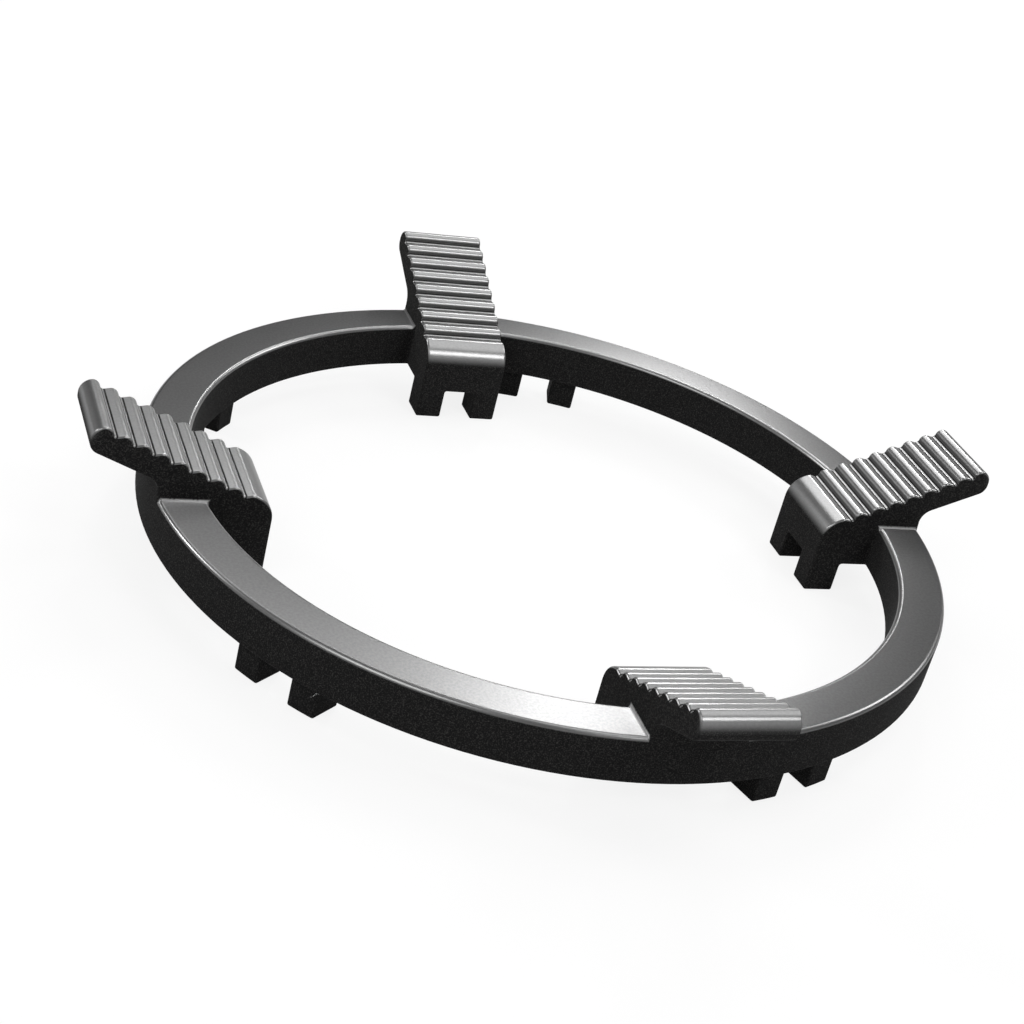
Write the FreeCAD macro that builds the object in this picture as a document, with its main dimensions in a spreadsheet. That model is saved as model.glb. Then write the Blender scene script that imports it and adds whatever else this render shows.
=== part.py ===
import FreeCAD, Part
import Sketcher
import os
from math import asin, atan2, cos, hypot, pi, radians, sin, sqrt, tan

# Cast-iron wok ring for a gas hob, in millimetres.
# The origin is on the ring's axis, in the plane that the claws and lugs stand on.
# The first support lies along +X and the ring's axis is +Z.

# Driving sizes
SIZES = {
    "ring_outer_radius": 105.0,
    "ring_width": 12.1,
    "ring_height": 12.25,
    "ring_edge_round": 1.2,
    "ring_foot_bevel": 0.6,
    "support_count": 4,
    "support_width": 24.0,
    "support_inset": 17.2,
    "nose_round": 6.8,
    "land_length": 0.84,
    "arm_slope": 24.0,
    "crest_rise": 25.0,
    "underside_rise": 17.2,
    "neck_round": 4.0,
    "neck_seat": 2.5,
    "neck_overlap": 1.5,
    "tip_overhang": 16.6,
    "tip_top_round": 3.6,
    "tip_bottom_round": 3.15,
    "last_crest_inset": 3.9,
    "rib_crest_round": 1.9,
    "rib_valley_round": 1.3,
    "claw_depth": 8.4,
    "claw_thickness": 8.6,
    "claw_slot": 9.2,
    "claw_edge_round": 0.6,
    "claw_root_round": 1.2,
    "stand_arm_count": 5,
    "lug_inset": 1.75,
}
RIB_VALLEYS = 8

doc = FreeCAD.newDocument("wok_ring")


def fill_sheet():
    """The driving sizes as named cells of a sheet."""
    sheet = doc.addObject("Spreadsheet::Sheet", "Sizes")
    for row, (alias, value) in enumerate(SIZES.items(), start=1):
        sheet.set(f"A{row}", alias)
        sheet.set(f"B{row}", str(value))
        sheet.setAlias(f"B{row}", alias)
    doc.recompute()


class Outline:
    """A sketch drawn point by point, with its sizes bound to the sheet."""

    def __init__(self, body, name, plane):
        self.sketch = body.newObject("Sketcher::SketchObject", name)
        origin = next(f for f in body.Origin.OriginFeatures if f.Role == plane)
        self.sketch.AttachmentSupport = [(origin, "")]
        self.sketch.MapMode = "FlatFace"

    def line(self, start, end):
        shape = Part.LineSegment(FreeCAD.Vector(*start, 0), FreeCAD.Vector(*end, 0))
        return self.sketch.addGeometry(shape, False)

    def arc(self, centre, radius, first, last):
        """An arc counterclockwise from the angle first to the angle last, in radians."""
        circle = Part.Circle(FreeCAD.Vector(*centre, 0), FreeCAD.Vector(0, 0, 1), radius)
        return self.sketch.addGeometry(Part.ArcOfCircle(circle, first, last), False)

    def chain(self, kind, *joints):
        """The same rule for each pair of curve ends in a row of neighbours."""
        for joint in joints:
            self.rule(kind, *joint)

    def rule(self, kind, *what):
        """A rule between curves or their ends, without a size."""
        self.sketch.addConstraint(Sketcher.Constraint(kind, *what))

    def size(self, kind, *what, value, formula):
        """A dimension with its starting value and the formula that drives it."""
        index = self.sketch.addConstraint(Sketcher.Constraint(kind, *what, value))
        self.sketch.setExpression(f"Constraints[{index}]", formula)


# The ends of a sketch's curves, and its origin and axes
START, END, CENTRE = range(1, 4)
ORIGIN = (-1, 1)
X_AXIS = ORIGIN[0]

fill_sheet()
S = SIZES
base = S["claw_depth"]
ring_top = base + S["ring_height"]
TOUCH = 0.01
slope = radians(S["arm_slope"])
half_width = S["support_width"] / 2
ring_inner = S["ring_outer_radius"] - S["ring_width"]
mid_radius = S["ring_outer_radius"] - S["ring_width"] / 2
support_inner = ring_inner - S["support_inset"]
tip_radius = S["ring_outer_radius"] + S["tip_overhang"]
last_crest_radius = tip_radius - S["last_crest_inset"]
uphill = (cos(slope), sin(slope))
normal = (-sin(slope), cos(slope))
land_start = support_inner + S["nose_round"] * (1 - sin(slope))
rib_pitch = ((last_crest_radius - land_start) / cos(slope) - S["land_length"]) / RIB_VALLEYS

# The same places as formulas for the sketches
RING_INNER = "(Sizes.ring_outer_radius - Sizes.ring_width)"
MID_RADIUS = "(Sizes.ring_outer_radius - Sizes.ring_width / 2)"
SUPPORT_INNER = f"({RING_INNER} - Sizes.support_inset)"
TIP_RADIUS = "(Sizes.ring_outer_radius + Sizes.tip_overhang)"
LAST_CREST_RADIUS = f"({TIP_RADIUS} - Sizes.last_crest_inset)"
SLOPE = "(Sizes.arm_slope * 1 deg)"
LAND_START = f"({SUPPORT_INNER} + Sizes.nose_round * (1 - sin{SLOPE}))"
RIB_PITCH = f"(({LAST_CREST_RADIUS} - {LAND_START}) / cos{SLOPE} - Sizes.land_length) / {RIB_VALLEYS}"


def on_crest_line(radius):
    """Height of the line that the ribs touch, at a distance from the ring's axis."""
    return base + S["crest_rise"] + tan(slope) * (radius - S["ring_outer_radius"])


def on_underside(radius):
    """Height of the arm's underside, at a distance from the ring's axis."""
    return base + S["underside_rise"] + tan(slope) * (radius - S["ring_outer_radius"])


def step(point, along, out):
    """The point moved along the slope and out of it."""
    return (point[0] + along * uphill[0] + out * normal[0],
            point[1] + along * uphill[1] + out * normal[1])


def draw_support():
    """Side view of one support: inner face, nose, land, ribs, tip and claw."""
    o = Outline(body, "SupportOutline", "XZ_Plane")
    inner = support_inner
    crest, valley = S["rib_crest_round"], S["rib_valley_round"]
    flank = asin(rib_pitch / 2 / (crest + valley))
    up = pi / 2 + slope
    last_crest = (last_crest_radius, on_crest_line(last_crest_radius))

    # Inner face, rounded nose and smooth land
    bend = S["nose_round"]
    nose_centre = (inner + bend, on_crest_line(inner + bend) - bend / cos(slope))
    nose_end = step(nose_centre, 0, bend)
    first_crest = step(last_crest, -RIB_VALLEYS * rib_pitch, 0)
    face = o.line((inner, S["claw_edge_round"]), (inner, nose_centre[1]))
    nose = o.arc(nose_centre, bend, up, pi)
    land = o.line(nose_end, first_crest)

    # Ribs: round crests and round valleys, tangent to each other
    crests, valleys = [], []
    for k in range(RIB_VALLEYS + 1):
        centre = step(first_crest, k * rib_pitch, -crest)
        first = up - flank
        last = up if k == 0 else up + flank
        if k == RIB_VALLEYS:
            end_centre = tip_centre(centre, crest)
            first = atan2(centre[1] - end_centre[1], centre[0] - end_centre[0])
        crests.append(o.arc(centre, crest, first, last))
        if k < RIB_VALLEYS:
            low = step(centre, rib_pitch / 2, (crest + valley) * cos(flank))
            valleys.append(o.arc(low, valley, up + pi - flank, up + pi + flank))

    # Tip: large round above, smaller round below, then the straight underside
    top_round, low_round, tip = S["tip_top_round"], S["tip_bottom_round"], tip_radius
    low_centre = (tip - low_round, on_underside(tip - low_round) + low_round / cos(slope))
    tip_top = o.arc(end_centre, top_round, 0, first)
    tip_face = o.line((tip, end_centre[1]), (tip, low_centre[1]))
    tip_low = o.arc(low_centre, low_round, slope - pi / 2, 0)
    underside = o.line(step(low_centre, 0, -low_round), (mid_radius, on_underside(mid_radius)))
    inside = o.line((mid_radius, on_underside(mid_radius)), (mid_radius, base))

    # Claw below the inner end, with a round root and round corners
    root, corner = S["claw_root_round"], S["claw_edge_round"]
    outer = inner + S["claw_thickness"]
    bottom = o.line((mid_radius, base), (outer + root, base))
    claw_root = o.arc((outer + root, base - root), root, pi / 2, pi)
    claw_back = o.line((outer, base - root), (outer, corner))
    back_corner = o.arc((outer - corner, corner), corner, -pi / 2, 0)
    claw_foot = o.line((outer - corner, 0), (inner + corner, 0))
    face_corner = o.arc((inner + corner, corner), corner, pi, 3 * pi / 2)

    # Neighbours run smoothly into each other, apart from the corners inside the ring
    o.rule("Tangent", face, END, nose, END)
    o.rule("Tangent", nose, START, land, START)
    o.rule("Tangent", land, END, crests[0], END)
    for k in range(RIB_VALLEYS):
        o.rule("Tangent", crests[k], START, valleys[k], START)
        o.rule("Tangent", valleys[k], END, crests[k + 1], END)
    o.rule("Tangent", crests[-1], START, tip_top, END)
    o.rule("Tangent", tip_top, START, tip_face, START)
    o.rule("Tangent", tip_face, END, tip_low, END)
    o.rule("Tangent", tip_low, START, underside, START)
    o.rule("Coincident", underside, END, inside, START)
    o.rule("Coincident", inside, END, bottom, START)
    o.rule("Tangent", bottom, END, claw_root, START)
    o.rule("Tangent", claw_root, END, claw_back, START)
    o.rule("Tangent", claw_back, END, back_corner, END)
    o.rule("Tangent", back_corner, START, claw_foot, START)
    o.rule("Tangent", claw_foot, END, face_corner, END)
    o.rule("Tangent", face_corner, START, face, START)
    o.rule("Vertical", face)
    o.rule("Vertical", inside)
    o.rule("Horizontal", bottom)
    o.rule("Vertical", claw_back)
    o.rule("PointOnObject", claw_foot, START, X_AXIS)
    o.rule("PointOnObject", claw_foot, END, X_AXIS)
    o.rule("Vertical", tip_face)
    o.rule("Parallel", underside, land)

    # Sizes
    for curve, alias in ((nose, "nose_round"), (crests[0], "rib_crest_round"),
                         (valleys[0], "rib_valley_round"), (tip_top, "tip_top_round"),
                         (tip_low, "tip_bottom_round"), (claw_root, "claw_root_round"),
                         (back_corner, "claw_edge_round"), (face_corner, "claw_edge_round")):
        o.size("Radius", curve, value=S[alias], formula=f"Sizes.{alias}")
    for k in range(1, RIB_VALLEYS + 1):
        o.rule("Equal", crests[0], crests[k])
    for k in range(1, RIB_VALLEYS):
        o.rule("Equal", valleys[0], valleys[k])
    guide = o.line(step(first_crest, 0, -crest), step(last_crest, 0, -crest))
    o.sketch.setConstruction(guide, True)
    o.rule("Parallel", guide, land)
    o.rule("Coincident", guide, START, crests[0], CENTRE)
    for k in range(1, RIB_VALLEYS + 1):
        if k < RIB_VALLEYS:
            o.rule("PointOnObject", crests[k], CENTRE, guide)
        o.size("Distance", crests[k - 1], CENTRE, crests[k], CENTRE,
               value=rib_pitch, formula=RIB_PITCH)
    o.rule("Coincident", guide, END, crests[-1], CENTRE)
    o.size("Angle", land, value=slope, formula=SLOPE)
    o.size("DistanceX", *ORIGIN, face, END, value=inner, formula=SUPPORT_INNER)
    o.size("DistanceX", *ORIGIN, crests[-1], CENTRE,
           value=last_crest[0] + crest * sin(slope),
           formula=f"{LAST_CREST_RADIUS} + Sizes.rib_crest_round * sin{SLOPE}")
    o.size("DistanceY", *ORIGIN, crests[-1], CENTRE,
           value=last_crest[1] - crest * cos(slope),
           formula=f"Sizes.claw_depth + Sizes.crest_rise"
                   f" + tan{SLOPE} * (Sizes.tip_overhang - Sizes.last_crest_inset)"
                   f" - Sizes.rib_crest_round * cos{SLOPE}")
    o.size("DistanceX", *ORIGIN, tip_face, END, value=tip, formula=TIP_RADIUS)
    o.size("DistanceX", *ORIGIN, underside, END, value=mid_radius, formula=MID_RADIUS)
    o.size("DistanceY", *ORIGIN, underside, END, value=on_underside(mid_radius),
           formula=f"Sizes.claw_depth + Sizes.underside_rise - tan{SLOPE} * Sizes.ring_width / 2")
    o.size("DistanceY", *ORIGIN, bottom, END, value=base, formula="Sizes.claw_depth")
    o.size("DistanceX", *ORIGIN, claw_back, END, value=outer,
           formula=f"{SUPPORT_INNER} + Sizes.claw_thickness")
    doc.recompute()
    return o.sketch


def tip_centre(crest_centre, crest):
    """Centre of the tip's upper round, which the last crest touches from inside."""
    across = tip_radius - S["tip_top_round"]
    reach = S["tip_top_round"] - crest
    fall = sqrt(reach ** 2 - (crest_centre[0] - across) ** 2)
    return (across, crest_centre[1] - fall)


def draw_neck():
    """Plan of the neck: as wide as the support, and flush with the ring's outer wall."""
    o = Outline(body, "NeckOutline", "XY_Plane")
    outer = S["ring_outer_radius"]
    wall_x = sqrt(outer ** 2 - half_width ** 2)
    start = mid_radius - S["neck_overlap"]
    turn = asin(half_width / outer)
    low = o.line((start, -half_width), (wall_x, -half_width))
    wall = o.arc((0, 0), outer, -turn, turn)
    high = o.line((wall_x, half_width), (start, half_width))
    back = o.line((start, half_width), (start, -half_width))
    o.chain("Coincident", (low, END, wall, START), (wall, END, high, START),
            (high, END, back, START), (back, END, low, START))
    o.rule("Horizontal", low)
    o.rule("Horizontal", high)
    o.rule("Vertical", back)
    o.rule("Coincident", wall, CENTRE, *ORIGIN)
    o.size("Radius", wall, value=outer, formula="Sizes.ring_outer_radius")
    o.size("DistanceY", low, START, high, END, value=2 * half_width, formula="Sizes.support_width")
    o.size("DistanceY", *ORIGIN, high, END, value=half_width, formula="Sizes.support_width / 2")
    o.size("DistanceX", *ORIGIN, back, END, value=start,
           formula=f"{MID_RADIUS} - Sizes.neck_overlap")
    o.sketch.setExpression("AttachmentOffset.Base.z",
                           "Sizes.claw_depth + Sizes.ring_height - Sizes.neck_seat")
    doc.recompute()
    return o.sketch


def draw_slot():
    """Front view of the slot that parts the two claws, up to the ring's underside."""
    o = Outline(body, "SlotOutline", "YZ_Plane")
    half = S["claw_slot"] / 2
    floor = -base
    low = o.line((-half, floor), (half, floor))
    right = o.line((half, floor), (half, base))
    high = o.line((half, base), (-half, base))
    left = o.line((-half, base), (-half, floor))
    o.chain("Coincident", (low, END, right, START), (right, END, high, START),
            (high, END, left, START), (left, END, low, START))
    o.rule("Horizontal", low)
    o.rule("Horizontal", high)
    o.rule("Vertical", right)
    o.rule("Vertical", left)
    o.size("DistanceX", high, END, high, START, value=2 * half, formula="Sizes.claw_slot")
    o.size("DistanceX", *ORIGIN, high, START, value=half, formula="Sizes.claw_slot / 2")
    o.size("DistanceY", *ORIGIN, high, START, value=base, formula="Sizes.claw_depth")
    o.size("DistanceY", low, START, left, START, value=base - floor, formula="2 * Sizes.claw_depth")
    doc.recompute()
    return o.sketch


def draw_ring():
    """Section of the ring, standing on the plane of the claws' roots."""
    o = Outline(body, "RingSection", "XZ_Plane")
    inner, outer = ring_inner, S["ring_outer_radius"]
    top_round, bevel = S["ring_edge_round"], S["ring_foot_bevel"]
    low, high = base, base + S["ring_height"]
    bottom = o.line((inner + bevel, low), (outer - bevel, low))
    low_out = o.line((outer - bevel, low), (outer, low + bevel))
    wall_out = o.line((outer, low + bevel), (outer, high - top_round))
    high_out = o.arc((outer - top_round, high - top_round), top_round, 0, pi / 2)
    top = o.line((outer - top_round, high), (inner + top_round, high))
    high_in = o.arc((inner + top_round, high - top_round), top_round, pi / 2, pi)
    wall_in = o.line((inner, high - top_round), (inner, low + bevel))
    low_in = o.line((inner, low + bevel), (inner + bevel, low))
    o.chain("Tangent", (wall_out, END, high_out, START), (high_out, END, top, START),
            (top, END, high_in, START), (high_in, END, wall_in, START))
    o.chain("Coincident", (bottom, END, low_out, START), (low_out, END, wall_out, START),
            (wall_in, END, low_in, START), (low_in, END, bottom, START))
    o.rule("Horizontal", bottom)
    o.rule("Horizontal", top)
    o.rule("Vertical", wall_out)
    o.rule("Vertical", wall_in)
    o.rule("Equal", high_out, high_in)
    o.size("Radius", high_out, value=top_round, formula="Sizes.ring_edge_round")
    for first, second in (((low_out, START), (low_out, END)), ((low_in, START), (low_in, END))):
        o.size("DistanceX", *first, *second, value=bevel, formula="Sizes.ring_foot_bevel")
    for first, second in (((low_out, START), (low_out, END)), ((low_in, END), (low_in, START))):
        o.size("DistanceY", *first, *second, value=bevel, formula="Sizes.ring_foot_bevel")
    o.size("DistanceX", *ORIGIN, wall_out, START, value=outer, formula="Sizes.ring_outer_radius")
    o.size("DistanceX", *ORIGIN, wall_in, START, value=inner, formula=RING_INNER)
    o.size("DistanceY", *ORIGIN, bottom, START, value=low, formula="Sizes.claw_depth")
    o.size("DistanceY", bottom, START, top, START, value=high - low, formula="Sizes.ring_height")
    doc.recompute()
    return o.sketch


def draw_lugs():
    """Plan of a pair of lugs beside the slot for an arm of the pan stand."""
    o = Outline(body, "LugOutline", "XY_Plane")
    inner = ring_inner + S["lug_inset"]
    outer = S["ring_outer_radius"] - S["lug_inset"]
    near, far = S["claw_slot"] / 2, half_width
    for low, high in ((near, far), (-far, -near)):
        below = o.line((sqrt(inner ** 2 - low ** 2), low), (sqrt(outer ** 2 - low ** 2), low))
        outside = o.arc((0, 0), outer, asin(low / outer), asin(high / outer))
        above = o.line((sqrt(outer ** 2 - high ** 2), high), (sqrt(inner ** 2 - high ** 2), high))
        inside = o.arc((0, 0), inner, asin(low / inner), asin(high / inner))
        o.chain("Coincident", (below, END, outside, START), (outside, END, above, START),
                (above, END, inside, END), (inside, START, below, START),
                (outside, CENTRE, *ORIGIN), (inside, CENTRE, *ORIGIN))
        o.rule("Horizontal", below)
        o.rule("Horizontal", above)
        o.size("Radius", outside, value=outer, formula="Sizes.ring_outer_radius - Sizes.lug_inset")
        o.size("Radius", inside, value=inner, formula=f"{RING_INNER} + Sizes.lug_inset")
        if low > 0:
            o.size("DistanceY", *ORIGIN, below, START, value=near, formula="Sizes.claw_slot / 2")
            o.size("DistanceY", *ORIGIN, above, START, value=far, formula="Sizes.support_width / 2")
        else:
            o.size("DistanceY", above, START, *ORIGIN, value=near, formula="Sizes.claw_slot / 2")
            o.size("DistanceY", below, START, *ORIGIN, value=far, formula="Sizes.support_width / 2")
    o.sketch.setExpression("AttachmentOffset.Rotation.Angle", "360 deg / Sizes.stand_arm_count")
    doc.recompute()
    return o.sketch


def pad(name, sketch, length, centred=False):
    """A pad of the sketch, upward or to both sides, as long as the formula says."""
    feature = body.newObject("PartDesign::Pad", name)
    feature.Profile = sketch
    feature.SideType = "Symmetric" if centred else "One side"
    feature.setExpression("Length", length)
    doc.recompute()
    return feature


def edges_where(feature, test):
    """Names of the feature's edges whose middle point passes the test."""
    names = []
    for number, edge in enumerate(feature.Shape.Edges, start=1):
        if test(edge.valueAt((edge.FirstParameter + edge.LastParameter) / 2)):
            names.append(f"Edge{number}")
    return names


def copied_round(name, count, originals=None, spacing=None):
    """Copies about the ring's axis, of some features or of the whole body so far."""
    pattern = body.newObject("PartDesign::PolarPattern", name)
    if originals:
        pattern.Originals = originals
    else:
        pattern.TransformMode = "Whole shape"
    axis = next(f for f in body.Origin.OriginFeatures if f.Role == "Z_Axis")
    pattern.Axis = (axis, [""])
    pattern.setExpression("Occurrences", count)
    if spacing:
        pattern.Mode = "Spacing"
        pattern.setExpression("Offset", spacing)
    body.Tip = pattern
    doc.recompute()
    return pattern


def under_the_arm(middle):
    """The edge where the neck's outer wall meets the underside of the arm."""
    on_wall = abs(hypot(middle.x, middle.y) - S["ring_outer_radius"]) < TOUCH
    return on_wall and abs(middle.y) < TOUCH and middle.z > ring_top


body = doc.addObject("PartDesign::Body", "WokRing")
body.Label = "wok_ring"
# The four supports are separate until the ring joins them
body.AllowCompound = True

# One support with its neck and claws, then all of them
support = pad("Support", draw_support(), "Sizes.support_width", centred=True)
neck = pad("Neck", draw_neck(),
           "Sizes.underside_rise - Sizes.ring_height + Sizes.neck_seat + Sizes.neck_overlap")
neck_round = body.newObject("PartDesign::Fillet", "NeckRound")
neck_round.Base = (neck, edges_where(neck, under_the_arm))
neck_round.setExpression("Radius", "Sizes.neck_round")
doc.recompute()
slot = body.newObject("PartDesign::Pocket", "Slot")
slot.Profile = draw_slot()
slot.SideType = "Symmetric"
slot.setExpression("Length", f"2 * {TIP_RADIUS}")
doc.recompute()
copied_round("Supports", "Sizes.support_count")

# The ring
ring = body.newObject("PartDesign::Revolution", "Ring")
ring.Profile = draw_ring()
ring.ReferenceAxis = (ring.Profile[0], ["V_Axis"])
ring.setExpression("Angle", "360")
body.Tip = ring
doc.recompute()

# A pair of lugs, then a pair for each further arm of the stand
lugs = pad("Lugs", draw_lugs(), "Sizes.claw_depth + Sizes.neck_seat")
casting = copied_round("LugPairs", "Sizes.stand_arm_count - 1", [lugs],
                       "360 deg / Sizes.stand_arm_count")

for item in doc.Objects:
    if "Invalid" in item.State or "Error" in item.State:
        raise RuntimeError(f"{item.Name} did not build")
if casting.Shape.isNull() or not casting.Shape.isValid() or len(casting.Shape.Solids) != 1:
    raise RuntimeError("the casting is not one valid solid")

os.makedirs("parts", exist_ok=True)
casting.Shape.exportStep("parts/wok_ring.step")
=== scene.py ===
from math import acos, asin, atan2, cos, hypot, pi, radians, sin, sqrt, tan

import bmesh
import bpy
from mathutils import Matrix, Vector


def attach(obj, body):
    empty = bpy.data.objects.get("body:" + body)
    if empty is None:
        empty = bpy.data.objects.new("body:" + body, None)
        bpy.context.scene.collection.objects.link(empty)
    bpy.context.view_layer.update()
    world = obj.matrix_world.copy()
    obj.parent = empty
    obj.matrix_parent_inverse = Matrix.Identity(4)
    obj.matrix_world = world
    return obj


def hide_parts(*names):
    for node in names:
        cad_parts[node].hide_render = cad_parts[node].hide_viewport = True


# A cast-iron wok ring on a white floor, seen from above one side.
# Scene lengths are in metres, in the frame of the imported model.
# The casting's sizes are in millimetres, and those of the CAD model have its values.

MM = 0.001

# Ring
RING_OUTER = 105.0
RING_WIDTH = 12.1
RING_HEIGHT = 12.25
RING_STEPS = 36

# Supports. The two rises are heights over the ring's underside, at its outer wall.
SUPPORTS = 4
SUPPORT_WIDTH = 24.0
SUPPORT_INSET = 17.2
SLOPE = radians(24.0)
CREST_RISE = 25.0
UNDERSIDE_RISE = 17.2
NOSE_ROUND = 6.8
LAND_LENGTH = 0.84
TIP_OVERHANG = 16.6
TIP_TOP_ROUND = 3.6
TIP_LOW_ROUND = 3.15
LAST_CREST_INSET = 3.9
NECK_ROUND = 4.0
NECK_SEAT = 2.5
MIDDLE_COLUMN = 1.55
ROUND_STEPS = 12

# Ribs on the supports, their valleys set a little outward of the middle between two crests
RIB_VALLEYS = 8
CREST_ROUND = 1.9
VALLEY_DEPTH = 1.26
VALLEY_SHIFT = 0.15
RIB_ARC_STEPS = 10

# Claws and lugs
CLAW_DEPTH = 8.4
CLAW_THICKNESS = 8.6
CLAW_SLOT = 9.2
LUG_INSET = 1.75
LUG_SEAT = 2.5
STAND_ARMS = 5

# Rounds on edges and in corners, and the least angle between faces that gets one
RING_TOP_ROUND = 1.2
EDGE_ROUND = 0.6
CORNER_ROUND = 0.85
ROOT_ROUND = 1.2
BEVEL_SEGMENTS = 4
SHARP = radians(30)

# How near counts as the same: faces in one plane, points, lines through the axis, curved rims
FLAT = radians(0.1)
SAME_POINT = 0.001
SAME_HEIGHT = 0.01
SAME_RIM = 0.05

# Camera of the photograph: place, a point on its line of sight, roll and lens
CAMERA_PLACE = Vector((-0.2007, -0.4153, 0.2617))
CAMERA_AIM = Vector((-0.01445, -0.01133, 0.02065))
CAMERA_ROLL = radians(14.59)
LENS = 70.8
SENSOR = 36.0
NEAREST_SEEN = 0.01

# Lamps: azimuth and elevation in degrees, distance, width and height in metres, radiance
LAMPS = {
    "strip": (60.8, 34, 2.0, 0.16, 0.62, 24),
    "back_box": (85, 45, 2.0, 1.1, 0.6, 3.6),
    "wide_box": (85, 49, 2.1, 2.4, 1.2, 0.15),
    "edge_box": (20, 36, 2.0, 0.9, 0.45, 8),
    "rear_low": (55, 11, 2.0, 0.7, 0.5, 0.65),
    "left_strip": (144, 27, 2.0, 0.35, 0.6, 14),
    "top_box": (14, 71, 2.0, 1.4, 1.2, 1.8),
    "front_spot": (-59, 48, 2.0, 0.55, 0.45, 9),
    "low_box": (-72, 18, 2.2, 1.2, 0.8, 1.0),
    "front_box": (-150, 45, 2.2, 1.3, 1.3, 2.6),
}
WORLD_STRENGTH = 0.1

# Floor: half its side, its colour, and how far camera and mirror rays see it as plain white
FLOOR_HALF = 3.0
FLOOR_COLOUR = (0.96, 0.96, 0.96, 1)
FLOOR_WHITENESS = 0.86
WHITE = (1, 1, 1, 1)

# Noises of the material: cycles a metre, detail and roughness
GRAIN = (1500.0, 3.0, 0.6)
SPECK = (3200.0, 2.0, 0.5)
PATCH = (110.0, 4.0, 0.55)

# Limits between which the material changes: metres of height and of distance from the axis,
# the part of the normal that points up, rib pitches, and values of the noises
ABOVE_RING = (0.0208, 0.0214)
OUT_TO_RING = (0.0908, 0.0922)
UPWARD = (0.15, 0.6)
UPWARD_AT_TIP = (-0.1, 0.7)
# Facing between which the ring's rounded edges get the painted highlight
LEVEL = (0.9, 0.985)
TIP_BEGINS = (0.1, 0.4)
# Where the lines of painted shade lie in the rib valleys, in rib pitches
LINES_END = 0.05
LINE_MIDDLE = 0.53
LINE_INSIDE = (0.035, 0.06)
LINE_OUTSIDE = (0.115, 0.145)
# Patch values over which the painted valley shade grows stronger
PATCHES_FOR_PAINTED_SHADE = (0.3, 0.6)
PATCHES_FOR_POLISH = (0.3, 0.7)
SPECKS = (0.45, 0.72)
GRAINS = (0.35, 0.65)

# Colours and finish, from the rougher to the more worn. Metal smoother than the first polish
# comes out speckled when a render is cleaned of noise.
IRON = ((0.0115, 0.0115, 0.0117, 1), (0.040, 0.039, 0.038, 1))
METAL = ((0.13, 0.13, 0.13, 1), (0.3, 0.3, 0.3, 1))
METAL_SHARE = (0.85, 0.88)
# How far wear, and the painted highlight on the ring's rounded edges, move the metal to its
# brighter colour
WEAR_AND_EDGE_SHEEN = 0.85
GRAIN_SHINE = 0.15
# Strength of the painted shade in the rib valleys, from patch to patch
PAINTED_SHADE_STRENGTH = (0.85, 0.97)
IRON_ROUGHNESS = 0.65
POLISH = (0.28, 0.29)
BUMP_STRENGTH = (0.5, 0.003)
BUMP_HEIGHT = 0.00012
MIRROR_LEVEL = 0.01
MIRROR_TINT = (0.7, 0.7, 0.7, 1)

base = CLAW_DEPTH
ring_top = base + RING_HEIGHT
ring_inner = RING_OUTER - RING_WIDTH
mid_radius = RING_OUTER - RING_WIDTH / 2
support_inner = ring_inner - SUPPORT_INSET
tip_radius = RING_OUTER + TIP_OVERHANG
last_crest = tip_radius - LAST_CREST_INSET
land_start = support_inner + NOSE_ROUND * (1 - sin(SLOPE))
rib_pitch = ((last_crest - land_start) / cos(SLOPE) - LAND_LENGTH) / RIB_VALLEYS
half_width = SUPPORT_WIDTH / 2
half_slot = CLAW_SLOT / 2
claw_middle = (half_slot + half_width) / 2

# Places across a support where its faces and the ring's are split
COLUMNS = [-half_width, -claw_middle, -half_slot, -MIDDLE_COLUMN,
           MIDDLE_COLUMN, half_slot, claw_middle, half_width]


def make_camera():
    """The camera, looking along its own -Z and turned about that line by the roll."""
    data = bpy.data.cameras.new("camera")
    data.sensor_width = SENSOR
    data.lens = LENS
    data.clip_start = NEAREST_SEEN
    camera = bpy.data.objects.new("camera", data)
    bpy.context.scene.collection.objects.link(camera)
    aim = (CAMERA_AIM - CAMERA_PLACE).to_track_quat("-Z", "Y")
    roll = Matrix.Rotation(CAMERA_ROLL, 4, "Z")
    camera.matrix_world = Matrix.Translation(CAMERA_PLACE) @ aim.to_matrix().to_4x4() @ roll
    bpy.context.scene.camera = camera


def make_world():
    """A plain even light from all round."""
    world = bpy.data.worlds.new("world")
    world.use_nodes = True
    background = world.node_tree.nodes["Background"]
    background.inputs["Color"].default_value = WHITE
    background.inputs["Strength"].default_value = WORLD_STRENGTH
    bpy.context.scene.world = world


def make_lamp(name, azimuth, elevation, distance, width, height, radiance):
    """A soft square lamp that points at the ring, as bright as its radiance says."""
    data = bpy.data.lights.new(name, "AREA")
    data.shape = "RECTANGLE"
    data.size, data.size_y = width, height
    data.energy = radiance * pi * width * height
    lamp = bpy.data.objects.new(name, data)
    bpy.context.scene.collection.objects.link(lamp)
    a, e = radians(azimuth), radians(elevation)
    place = Vector((cos(a) * cos(e), sin(a) * cos(e), sin(e))) * distance
    aim = (-place).to_track_quat("-Z", "Y")
    lamp.matrix_world = Matrix.Translation(place) @ aim.to_matrix().to_4x4()


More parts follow.
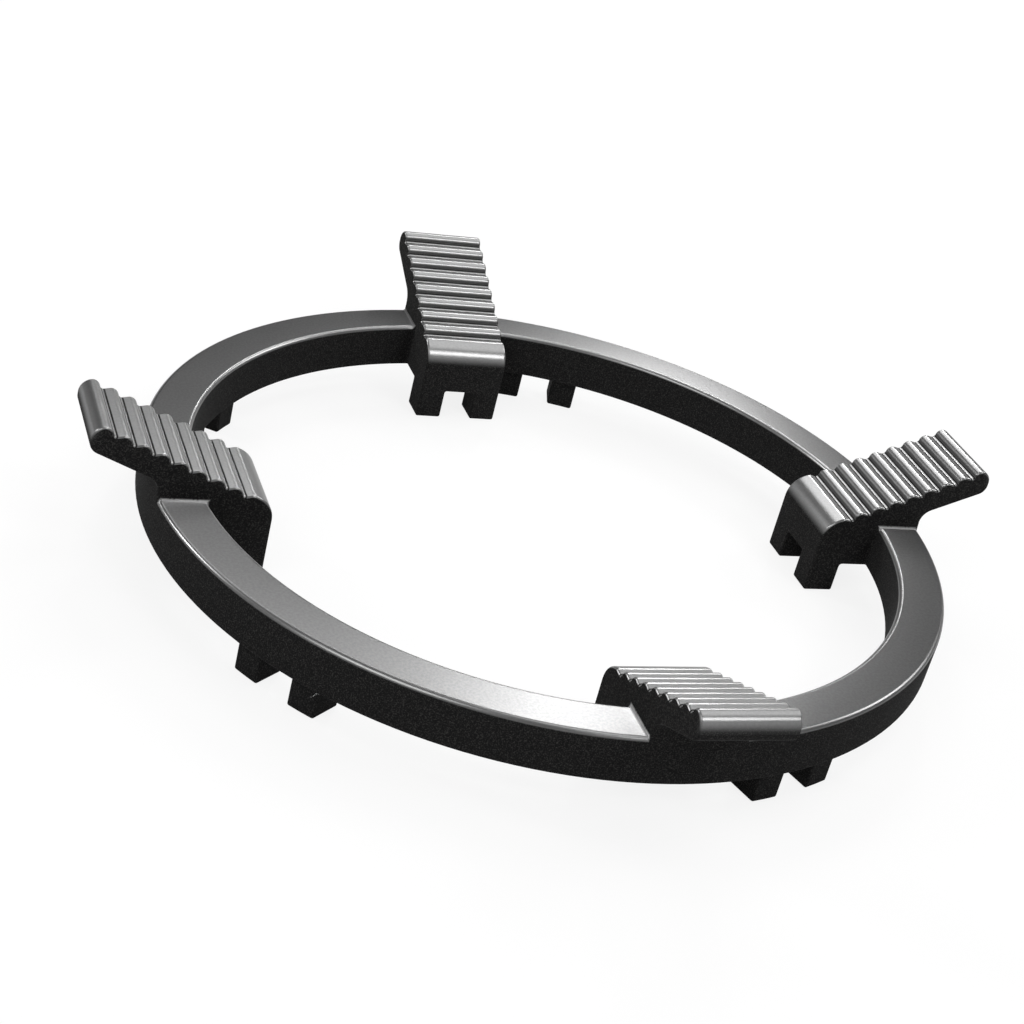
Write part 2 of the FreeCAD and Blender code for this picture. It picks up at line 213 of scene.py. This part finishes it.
class Nodes:
    """Short ways to add the nodes of one material."""

    def __init__(self, tree):
        self.tree = tree

    def add(self, kind, **inputs):
        """A node with some inputs set or linked, by name or by number."""
        node = self.tree.nodes.new("ShaderNode" + kind)
        for key, value in inputs.items():
            by_number = key[0] == "n" and key[1:].isdigit()
            key = int(key[1:]) if by_number else key.replace("_", " ")
            self.put(node.inputs[key], value)
        return node

    def put(self, target, value):
        """Links an output to an input, or sets the input to a number or colour."""
        if isinstance(value, bpy.types.NodeSocket):
            self.tree.links.new(value, target)
        else:
            target.default_value = value

    def noise(self, place, scale, detail, roughness):
        """Fractal noise from 0 to 1, with its scale in cycles a metre."""
        node = self.add("TexNoise", Vector=place, Scale=scale, Detail=detail, Roughness=roughness)
        return node.outputs["Fac"]

    def ramp(self, value, limits, ends=(0.0, 1.0)):
        """A smooth change between the two ends while the value goes between the limits."""
        node = self.add("MapRange", Value=value)
        node.interpolation_type = "SMOOTHSTEP"
        for name, number in zip(("From Min", "From Max", "To Min", "To Max"), (*limits, *ends)):
            self.put(node.inputs[name], number)
        return node.outputs["Result"]

    def blend(self, share, first, second):
        """The first number where the share is 0 and the second where it is 1."""
        return self.add("Mix", n0=share, n2=first, n3=second).outputs[0]

    def tint(self, share, first, second):
        """The same for two colours."""
        node = self.add("Mix")
        node.data_type = "RGBA"
        for number, value in ((0, share), (6, first), (7, second)):
            self.put(node.inputs[number], value)
        return node.outputs[2]

    def count(self, operation, *numbers):
        """Result of one arithmetic step."""
        node = self.add("Math", **{f"n{k}": number for k, number in enumerate(numbers)})
        node.operation = operation
        return node.outputs[0]

    def product(self, first, *others):
        """All the numbers multiplied."""
        for other in others:
            first = self.count("MULTIPLY", first, other)
        return first

    def rest(self, share):
        """What a share leaves of 1."""
        return self.count("SUBTRACT", 1.0, share)


def make_floor():
    """A wide white floor that keeps the object's shadow."""
    half = FLOOR_HALF
    corners = [(-half, -half, 0), (half, -half, 0), (half, half, 0), (-half, half, 0)]
    mesh = bpy.data.meshes.new("floor")
    mesh.from_pydata(corners, [], [(0, 1, 2, 3)])
    floor = bpy.data.objects.new("floor", mesh)
    bpy.context.scene.collection.objects.link(floor)
    material = bpy.data.materials.new("floor")
    material.use_nodes = True
    material.node_tree.nodes.clear()
    nodes = Nodes(material.node_tree)
    path = nodes.add("LightPath")
    seen = path.outputs["Is Camera Ray"]
    for ray in ("Is Glossy Ray", "Is Transmission Ray"):
        seen = nodes.count("ADD", seen, path.outputs[ray])
        seen.node.use_clamp = True
    lit = nodes.add("BsdfDiffuse", Color=FLOOR_COLOUR).outputs[0]
    plain = nodes.add("Emission", Color=WHITE, Strength=1.0).outputs[0]
    whiteness = nodes.product(seen, FLOOR_WHITENESS)
    mix = nodes.add("MixShader", n0=whiteness, n1=lit, n2=plain)
    nodes.add("OutputMaterial", Surface=mix.outputs[0])
    mesh.materials.append(material)


def count_ribs(nodes, reach, height):
    """Rib pitches outward from the last crest along the slope, less than 0 over the ribs."""
    start = (last_crest * cos(SLOPE) + on_crest_line(last_crest) * sin(SLOPE)) / rib_pitch
    ribs = nodes.count("MULTIPLY_ADD", reach, cos(SLOPE) / rib_pitch / MM, -start)
    return nodes.count("MULTIPLY_ADD", height, sin(SLOPE) / rib_pitch / MM, ribs)


def valley_shade_lines(nodes, ribs):
    """A dark line of painted shade to each side of the bottom of every valley."""
    from_middle = nodes.count("SUBTRACT", nodes.count("FRACT", ribs), LINE_MIDDLE)
    aside = nodes.count("ABSOLUTE", from_middle)
    near = nodes.ramp(aside, LINE_OUTSIDE, (1.0, 0.0))
    clear = nodes.ramp(aside, LINE_INSIDE)
    after_land = nodes.ramp(ribs, (-RIB_VALLEYS - LINES_END, -RIB_VALLEYS + LINES_END))
    before_tip = nodes.ramp(ribs, (-LINES_END, LINES_END), (1.0, 0.0))
    return nodes.product(near, clear, after_land, before_tip)


def cast_iron():
    """Black cast iron, rough on its walls and burnished where it faces up, with painted shade in
    the rib valleys and a painted highlight on the ring's rounded edges.
    """
    material = bpy.data.materials.new("cast_iron")
    material.use_nodes = True
    nodes = Nodes(material.node_tree)
    shader = material.node_tree.nodes["Principled BSDF"]
    nodes.put(shader.inputs["Specular IOR Level"], MIRROR_LEVEL)
    nodes.put(shader.inputs["Specular Tint"], MIRROR_TINT)
    place = nodes.add("TexCoord")
    facing = nodes.add("SeparateXYZ", Vector=place.outputs["Normal"]).outputs["Z"]
    position = nodes.add("SeparateXYZ", Vector=place.outputs["Object"])
    height = position.outputs["Z"]
    level = nodes.add("CombineXYZ", X=position.outputs["X"], Y=position.outputs["Y"])
    radius = nodes.add("VectorMath", n0=level.outputs[0])
    radius.operation = "LENGTH"
    reach = nodes.count("MAXIMUM", *(nodes.count("ABSOLUTE", position.outputs[axis])
                                     for axis in "XY"))
    grain, speck, patch = (nodes.noise(place.outputs["Object"], *noise)
                           for noise in (GRAIN, SPECK, PATCH))

    # Painted shade: dark lines along the valleys between the ribs, where neighbouring ribs shade
    # them, broken up a little by the patches
    above = nodes.ramp(height, ABOVE_RING)
    ribs = count_ribs(nodes, reach, height)
    painted_shade = nodes.product(valley_shade_lines(nodes, ribs), above,
                         nodes.ramp(patch, PATCHES_FOR_PAINTED_SHADE, PAINTED_SHADE_STRENGTH))

    # Burnished share: what faces up, and at the tips also what faces out, less the painted valley
    # shade
    tip = nodes.product(above, nodes.ramp(ribs, TIP_BEGINS))
    faced = nodes.blend(tip, nodes.ramp(facing, UPWARD), nodes.ramp(facing, UPWARD_AT_TIP))
    burnished = nodes.product(faced, nodes.rest(painted_shade))

    # Brightest where a wok has rubbed, which is wear, and along the ring's rounded edges, where
    # the brighter metal is a painted highlight
    rubbed = nodes.blend(nodes.ramp(radius.outputs["Value"], OUT_TO_RING), 1.0, above)
    # The ring's rounded edges, made brighter as a painted highlight
    edge = nodes.product(nodes.rest(above), nodes.ramp(facing, LEVEL, (1.0, 0.0)))
    wear_and_edge_sheen = nodes.count("MAXIMUM", rubbed, edge)
    grains = nodes.ramp(grain, GRAINS, (0.0, GRAIN_SHINE))
    shine = nodes.count("MULTIPLY_ADD", wear_and_edge_sheen, WEAR_AND_EDGE_SHEEN, grains)
    colour = nodes.tint(burnished, nodes.tint(nodes.ramp(speck, SPECKS), *IRON),
                        nodes.tint(shine, *METAL))
    nodes.put(shader.inputs["Base Color"], colour)
    metallic = nodes.product(burnished, nodes.blend(rubbed, *METAL_SHARE))
    nodes.put(shader.inputs["Metallic"], metallic)
    polish = nodes.ramp(patch, PATCHES_FOR_POLISH, POLISH)
    nodes.put(shader.inputs["Roughness"], nodes.blend(burnished, IRON_ROUGHNESS, polish))
    strength = nodes.blend(faced, *BUMP_STRENGTH)
    bump = nodes.add("Bump", Strength=strength, Distance=BUMP_HEIGHT, Height=grain)
    nodes.put(shader.inputs["Normal"], bump.outputs[0])
    return material


def arc(centre, radius, first, last, steps):
    """Points along an arc from one angle to the other."""
    turns = [first + (last - first) * k / steps for k in range(steps + 1)]
    return [(centre[0] + radius * cos(t), centre[1] + radius * sin(t)) for t in turns]


def on_crest_line(radius):
    """Height of the line that the ribs touch, at a distance from the ring's axis."""
    return base + CREST_RISE + tan(SLOPE) * (radius - RING_OUTER)


def on_underside(radius):
    """Height of the arm's underside, at a distance from the ring's axis."""
    return base + UNDERSIDE_RISE + tan(SLOPE) * (radius - RING_OUTER)


def step(point, along, out):
    """The point moved along the slope and out of it."""
    return (point[0] + along * cos(SLOPE) - out * sin(SLOPE),
            point[1] + along * sin(SLOPE) + out * cos(SLOPE))


def support_outline(wall):
    """Side view of a support above its claws, with the neck's wall at the given radius."""
    up = pi / 2 + SLOPE
    across = support_inner + NOSE_ROUND
    nose = (across, on_crest_line(across) - NOSE_ROUND / cos(SLOPE))
    points = [(support_inner, base)] + arc(nose, NOSE_ROUND, pi, up, ROUND_STEPS)

    # Ribs: round crests and tight valleys. Each rib is steep on the side of the ring's axis
    # and has a flat flank outward. The radii of crest and valley together put the valley's
    # bottom at its depth.
    rise = rib_pitch / 2 - VALLEY_SHIFT
    fall = rib_pitch / 2 + VALLEY_SHIFT
    radii = (rise ** 2 + VALLEY_DEPTH ** 2) / (2 * VALLEY_DEPTH)
    steep = asin(rise / radii)
    spread = hypot(fall, radii - VALLEY_DEPTH)
    gentle = atan2(fall, radii - VALLEY_DEPTH) - acos(radii / spread)
    top = (last_crest, on_crest_line(last_crest))
    for k in range(RIB_VALLEYS):
        crest = step(top, (k - RIB_VALLEYS) * rib_pitch, -CREST_ROUND)
        valley = step(crest, fall, radii - VALLEY_DEPTH)
        first = up + steep if k else up
        points += arc(crest, CREST_ROUND, first, up - gentle, RIB_ARC_STEPS)
        first, last = up + pi - gentle, up + pi + steep
        points += arc(valley, radii - CREST_ROUND, first, last, RIB_ARC_STEPS)[:-1]

    # Tip: large round above, smaller round below
    crest = step(top, 0, -CREST_ROUND)
    reach, across = TIP_TOP_ROUND - CREST_ROUND, tip_radius - TIP_TOP_ROUND
    tip = (across, crest[1] - sqrt(reach ** 2 - (crest[0] - across) ** 2))
    meet = atan2(crest[1] - tip[1], crest[0] - tip[0])
    across = tip_radius - TIP_LOW_ROUND
    low = (across, on_underside(across) + TIP_LOW_ROUND / cos(SLOPE))
    points += arc(crest, CREST_ROUND, up + steep, meet, RIB_ARC_STEPS)[:-1]
    points += arc(tip, TIP_TOP_ROUND, meet, 0, RIB_ARC_STEPS)
    points += arc(low, TIP_LOW_ROUND, 0, SLOPE - pi / 2, ROUND_STEPS)

    # Neck under the arm, with a round below it, then the underside inside the ring
    across = wall + NECK_ROUND
    neck = (across, on_underside(across) - NECK_ROUND / cos(SLOPE))
    points += [(max(x, wall), z) for x, z in arc(neck, NECK_ROUND, up, pi, ROUND_STEPS)[:-1]]
    seat = ring_top - NECK_SEAT
    points += [(wall, neck[1]), (wall, seat), (mid_radius, seat)]
    points += [(mid_radius, base), (support_inner + CLAW_THICKNESS, base)]
    return points


def quarter_turns(point, turns):
    """The point turned about the ring's axis by right angles, without rounding, in metres."""
    x, y, z = point
    for _ in range(turns):
        x, y = -y, x
    return (x * MM, y * MM, z * MM)


def on_wall(y):
    """Distance along X of the ring's outer wall at a distance along Y."""
    return sqrt(RING_OUTER ** 2 - y ** 2)


def add_band(form, left, right):
    """Faces between two closed rows of points, one for each side of a row."""
    count = len(left)
    faces = []
    for k in range(count):
        after = (k + 1) % count
        faces.append(form.faces.new((left[k], left[after], right[after], right[k])))
    return faces


def add_support(form, turns):
    """One support: its outline at each column, closed at both sides, and two claws."""
    rows = []
    for y in COLUMNS:
        outline = support_outline(on_wall(y))
        rows.append([form.verts.new(quarter_turns((x, y, z), turns)) for x, z in outline])
    claw_faces = []
    for left, right, y in zip(rows, rows[1:], COLUMNS):
        faces = add_band(form, left, right)
        if y >= half_slot or y < -half_slot:
            claw_faces.append(faces[-1])
    form.faces.new(rows[0][::-1])
    form.faces.new(rows[-1])
    grown = bmesh.ops.extrude_face_region(form, geom=claw_faces)["geom"]
    feet = [item for item in grown if isinstance(item, bmesh.types.BMVert)]
    bmesh.ops.delete(form, geom=claw_faces, context="FACES")
    for vert in feet:
        vert.co.z = 0.0


def add_supports(form):
    """All the supports, a right angle apart."""
    for turns in range(SUPPORTS):
        add_support(form, turns)


def add_ring(form):
    """The ring with square edges, split where the supports' columns are."""
    stations = [(on_wall(y), y) for y in COLUMNS]
    edge = atan2(half_width, on_wall(half_width))
    for k in range(1, RING_STEPS):
        turn = edge + (pi / 2 - 2 * edge) * k / RING_STEPS
        stations.append((RING_OUTER * cos(turn), RING_OUTER * sin(turn)))
    inward = ring_inner / RING_OUTER
    rows = []
    for turns in range(SUPPORTS):
        for x, y in stations:
            section = [(x * inward, y * inward, base), (x, y, base),
                       (x, y, ring_top), (x * inward, y * inward, ring_top)]
            rows.append([form.verts.new(quarter_turns(point, turns)) for point in section])
    for left, right in zip(rows, rows[1:] + rows[:1]):
        add_band(form, left, right)


def add_lugs(form):
    """A pair of lugs beside the slot for each further arm of the pan stand."""
    inner, outer = ring_inner + LUG_INSET, RING_OUTER - LUG_INSET
    top = base + LUG_SEAT
    for arm in range(1, STAND_ARMS):
        turn = Matrix.Rotation(2 * pi * arm / STAND_ARMS, 4, "Z")
        for side in (-1, 1):
            rows = []
            for y in (half_slot, claw_middle, half_width):
                section = []
                for radius, z in ((inner, 0), (outer, 0), (outer, top), (inner, top)):
                    place = Vector((sqrt(radius ** 2 - y ** 2), side * y, z)) * MM
                    section.append(form.verts.new(turn @ place))
                rows.append(section)
            for left, right in zip(rows, rows[1:]):
                add_band(form, left, right)
            form.faces.new(rows[0][::-1])
            form.faces.new(rows[-1])


def built(name, *steps):
    """An object made by the given steps, with its faces turned outward."""
    form = bmesh.new()
    for make in steps:
        make(form)
    bmesh.ops.recalc_face_normals(form, faces=form.faces)
    mesh = bpy.data.meshes.new(name)
    form.to_mesh(mesh)
    form.free()
    piece = bpy.data.objects.new(name, mesh)
    bpy.context.scene.collection.objects.link(piece)
    return piece


def settle(piece):
    """Applies the piece's modifiers to its mesh."""
    bpy.context.view_layer.update()
    ready = piece.evaluated_get(bpy.context.evaluated_depsgraph_get())
    mesh = bpy.data.meshes.new_from_object(ready)
    piece.modifiers.clear()
    piece.data = mesh


def is_spoke(edge):
    """Whether the edge lies flat and points at the ring's axis."""
    first, second = (vert.co / MM for vert in edge.verts)
    along = second - first
    level = abs(along.z) < SAME_POINT
    across = abs(first.x * second.y - first.y * second.x) / max(along.length, SAME_POINT)
    return level and across < SAME_RIM


def round_of(edge):
    """The radius that the edge gets, or none where the faces run on smoothly."""
    if edge.calc_face_angle(0) < SHARP:
        return 0
    first, second = (vert.co / MM for vert in edge.verts)
    if edge.is_convex:
        on_top = all(abs(point.z - ring_top) < SAME_RIM for point in (first, second))
        radii = [hypot(point.x, point.y) for point in (first, second)]
        on_rim = all(min(abs(radius - RING_OUTER), abs(radius - ring_inner)) < SAME_RIM
                     for radius in radii)
        return RING_TOP_ROUND if on_top and on_rim else EDGE_ROUND
    middle = (first + second) / 2
    reach = max(abs(middle.x), abs(middle.y))
    under = all(abs(point.z - base) < SAME_HEIGHT for point in (first, second))
    at_root = under and abs(reach - support_inner - CLAW_THICKNESS) < SAME_HEIGHT
    return ROOT_ROUND if at_root else CORNER_ROUND


def mark_rounds(mesh):
    """Cleans the joined mesh, gives every edge the share of the widest round and smooths it."""
    form = bmesh.new()
    form.from_mesh(mesh)
    bmesh.ops.remove_doubles(form, verts=form.verts, dist=SAME_POINT * MM)
    flat = [edge for edge in form.edges
            if edge.is_manifold and edge.calc_face_angle(1) < FLAT and not is_spoke(edge)]
    bmesh.ops.dissolve_edges(form, edges=flat, use_verts=True, use_face_split=False)
    weight = form.edges.layers.float.new("bevel_weight_edge")
    for edge in form.edges:
        edge[weight] = round_of(edge) / ROOT_ROUND
    for face in form.faces:
        face.smooth = True
    form.to_mesh(mesh)
    form.free()


def make_casting():
    """Ring, supports and lugs grown together, with every edge and corner rounded."""
    casting = built("casting", add_ring)
    grafts = built("grafts", add_supports, add_lugs)
    join = casting.modifiers.new("join", "BOOLEAN")
    join.operation = "UNION"
    join.solver = "EXACT"
    join.object = grafts
    settle(casting)
    bpy.data.objects.remove(grafts)
    mark_rounds(casting.data)
    rounds = casting.modifiers.new("rounds", "BEVEL")
    rounds.width = ROOT_ROUND * MM
    rounds.segments = BEVEL_SEGMENTS
    rounds.limit_method = "WEIGHT"
    rounds.use_clamp_overlap = False
    normals = casting.modifiers.new("normals", "WEIGHTED_NORMAL")
    normals.keep_sharp = False
    settle(casting)
    return casting


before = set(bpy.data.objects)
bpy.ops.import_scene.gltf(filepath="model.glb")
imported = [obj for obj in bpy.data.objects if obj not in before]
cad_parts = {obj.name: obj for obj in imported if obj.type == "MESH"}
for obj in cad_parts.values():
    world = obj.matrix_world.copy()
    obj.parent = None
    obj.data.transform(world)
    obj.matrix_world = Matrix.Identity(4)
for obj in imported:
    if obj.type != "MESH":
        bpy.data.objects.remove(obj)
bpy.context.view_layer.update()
make_camera()
make_world()
make_floor()
for name, settings in LAMPS.items():
    make_lamp(name, *settings)
casting = make_casting()
casting.data.materials.append(cast_iron())

# In the photograph the ring's top shows no mirror image of the supports' dark walls
casting.visible_glossy = False

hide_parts("wok_ring")
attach(casting, "root")
bpy.context.scene.view_settings.view_transform = "Standard"
